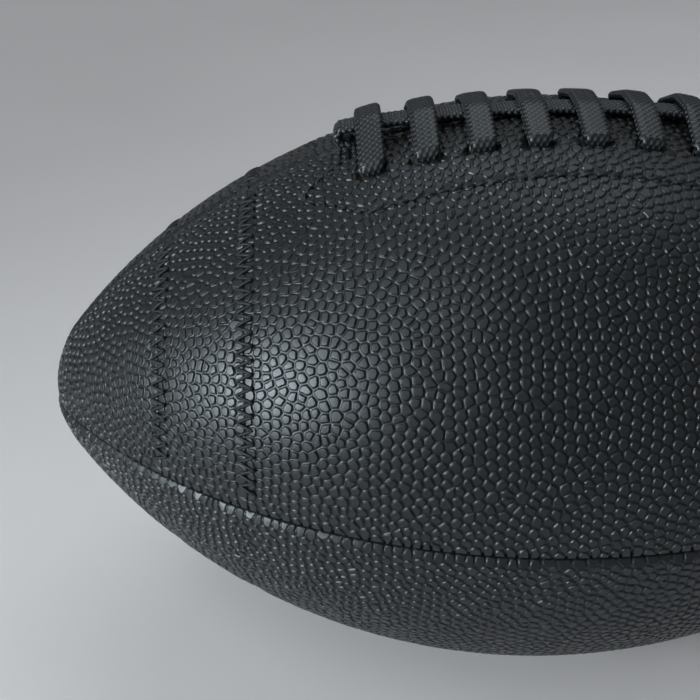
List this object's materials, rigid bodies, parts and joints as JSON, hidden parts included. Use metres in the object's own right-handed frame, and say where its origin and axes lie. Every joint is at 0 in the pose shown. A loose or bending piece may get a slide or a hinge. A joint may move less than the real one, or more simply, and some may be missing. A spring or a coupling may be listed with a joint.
{
  "type": "american football",
  "caption": "Pointed oval leather ball with sewn-in stripes, raised lace bars over a slit, a lined air bladder and an inflating valve with a plug that pulls out.",
  "frame": {"origin": "centre of the ball, on its long axis", "axes": "+X along the long axis, +Y to the rear panels, +Z out through the laces"},
  "size_m": [0.2878, 0.168, 0.1724],
  "materials": {
    "leather": "satin pebbled grain",
    "stripe_leather": "satin pebbled grain",
    "lace": "flat braided cord",
    "thread": "waxed thread",
    "lining": "woven cotton",
    "bladder": "smooth",
    "valve_rubber": "matte"
  },
  "bodies": {
    "ball": {"bladder": "bladder", "lace_crossing": "lace", "lace_lengthwise": "lace", "lining_lower_front": "lining", "lining_lower_rear": "lining", "lining_upper_front": "lining", "lining_upper_rear": "lining", "panel_lower_front": "leather", "panel_lower_rear": "leather", "panel_upper_front_middle": "leather", "panel_upper_front_nose_left": "leather", "panel_upper_front_nose_right": "leather", "panel_upper_front_stripe_left": "stripe_leather", "panel_upper_front_stripe_right": "stripe_leather", "panel_upper_rear_middle": "leather", "panel_upper_rear_nose_left": "leather", "panel_upper_rear_nose_right": "leather", "panel_upper_rear_stripe_left": "stripe_leather", "panel_upper_rear_stripe_right": "stripe_leather", "seam_thread_bottom": "thread", "seam_thread_front": "thread", "seam_thread_rear": "thread", "seam_thread_top_left": "thread", "seam_thread_top_right": "thread", "stay_front": "lining", "stay_rear": "lining", "stay_stitches_front": "thread", "stay_stitches_rear": "thread", "tongue": "lining", "valve_housing": "valve_rubber", "zigzag_front_left": "thread", "zigzag_front_right": "thread", "zigzag_rear_left": "thread", "zigzag_rear_right": "thread"},
    "plug": {"valve_plug": "valve_rubber"}
  },
  "joints": [
    {"name": "valve_plug_pull", "type": "slide", "parent": "ball", "child": "plug", "axis": [0, 0.7071, 0.7071], "range_m": [0, 0.016]}
  ]
}
